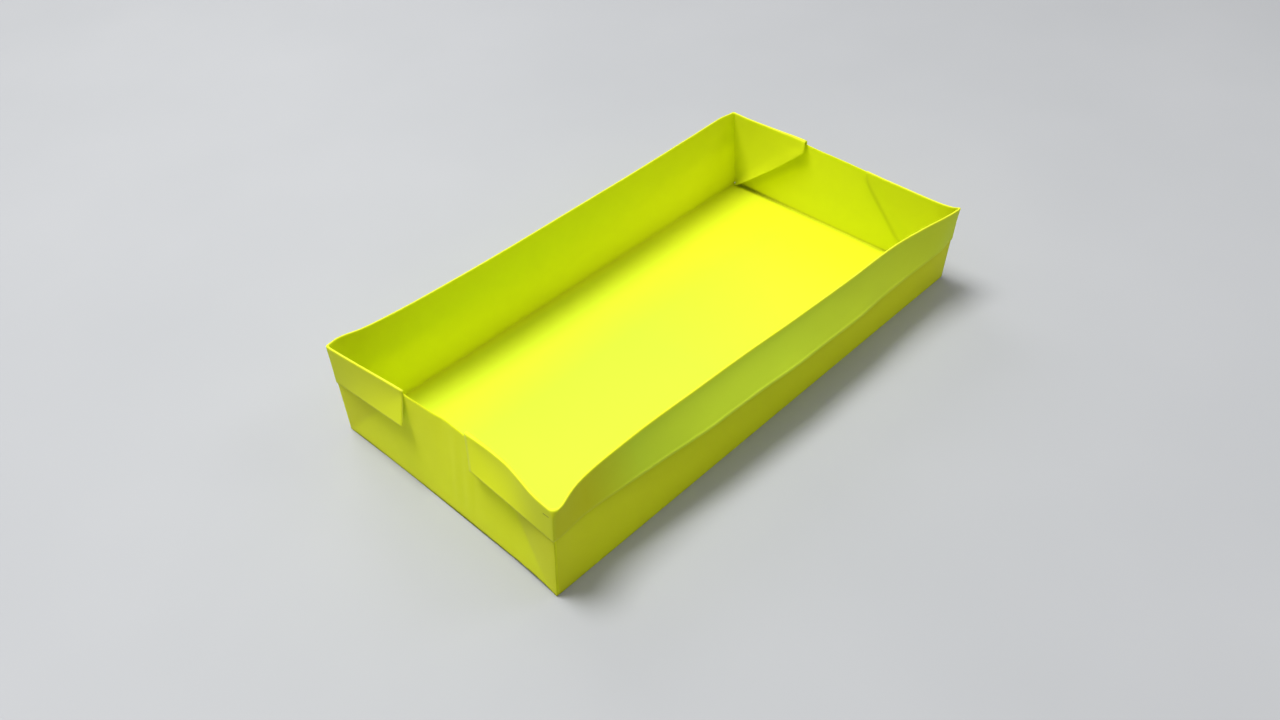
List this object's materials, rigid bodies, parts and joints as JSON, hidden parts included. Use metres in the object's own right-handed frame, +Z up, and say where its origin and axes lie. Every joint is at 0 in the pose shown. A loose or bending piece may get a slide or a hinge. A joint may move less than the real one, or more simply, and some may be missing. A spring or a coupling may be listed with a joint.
{
  "type": "origami box",
  "caption": "Shallow rectangular tray folded from one sheet of bright coloured paper, with gusseted corners and a turned-out cuff round its rim; holds small things.",
  "frame": {"origin": "middle of the base panel's underside", "axes": "+X along the long walls, +Y toward the rear long wall, +Z up out of the open top"},
  "size_m": [0.2065, 0.1155, 0.0371],
  "materials": {
    "paper": "fluorescent yellow-green craft paper, matt, dyed through"
  },
  "bodies": {
    "root": {"folded_sheet": "paper"}
  },
  "joints": []
}
